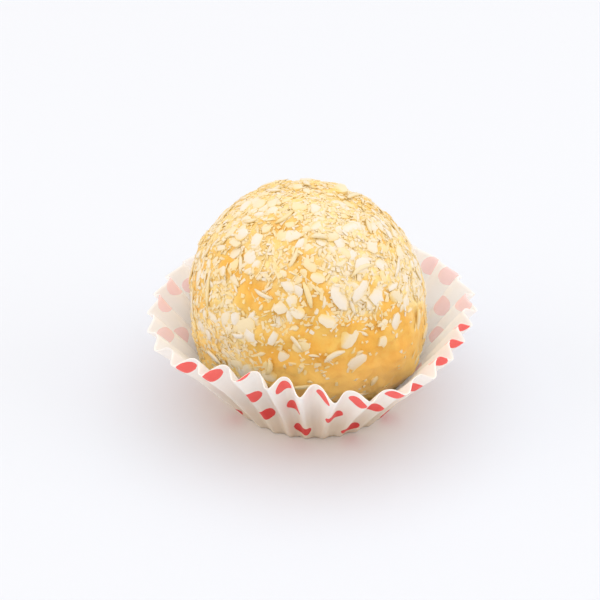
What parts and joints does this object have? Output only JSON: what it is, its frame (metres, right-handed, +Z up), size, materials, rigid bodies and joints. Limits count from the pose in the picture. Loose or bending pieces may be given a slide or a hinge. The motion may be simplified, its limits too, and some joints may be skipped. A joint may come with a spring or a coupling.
{
  "type": "coconut fudge ball in a paper case",
  "caption": "Round coconut fudge ball coated in desiccated coconut, resting in a fluted paper sweet case with a polka-dot pattern.",
  "frame": {"origin": "centre of the flat base of the paper case, on its underside", "axes": "+Z up; -Y is the front, the side whose wall stands steepest"},
  "size_m": [0.0507, 0.0499, 0.0359],
  "materials": {
    "coconut_fudge": "matte",
    "dotted_paper": "matte"
  },
  "bodies": {
    "root": {"fudge_ball": "coconut_fudge", "paper_case": "dotted_paper"}
  },
  "joints": []
}
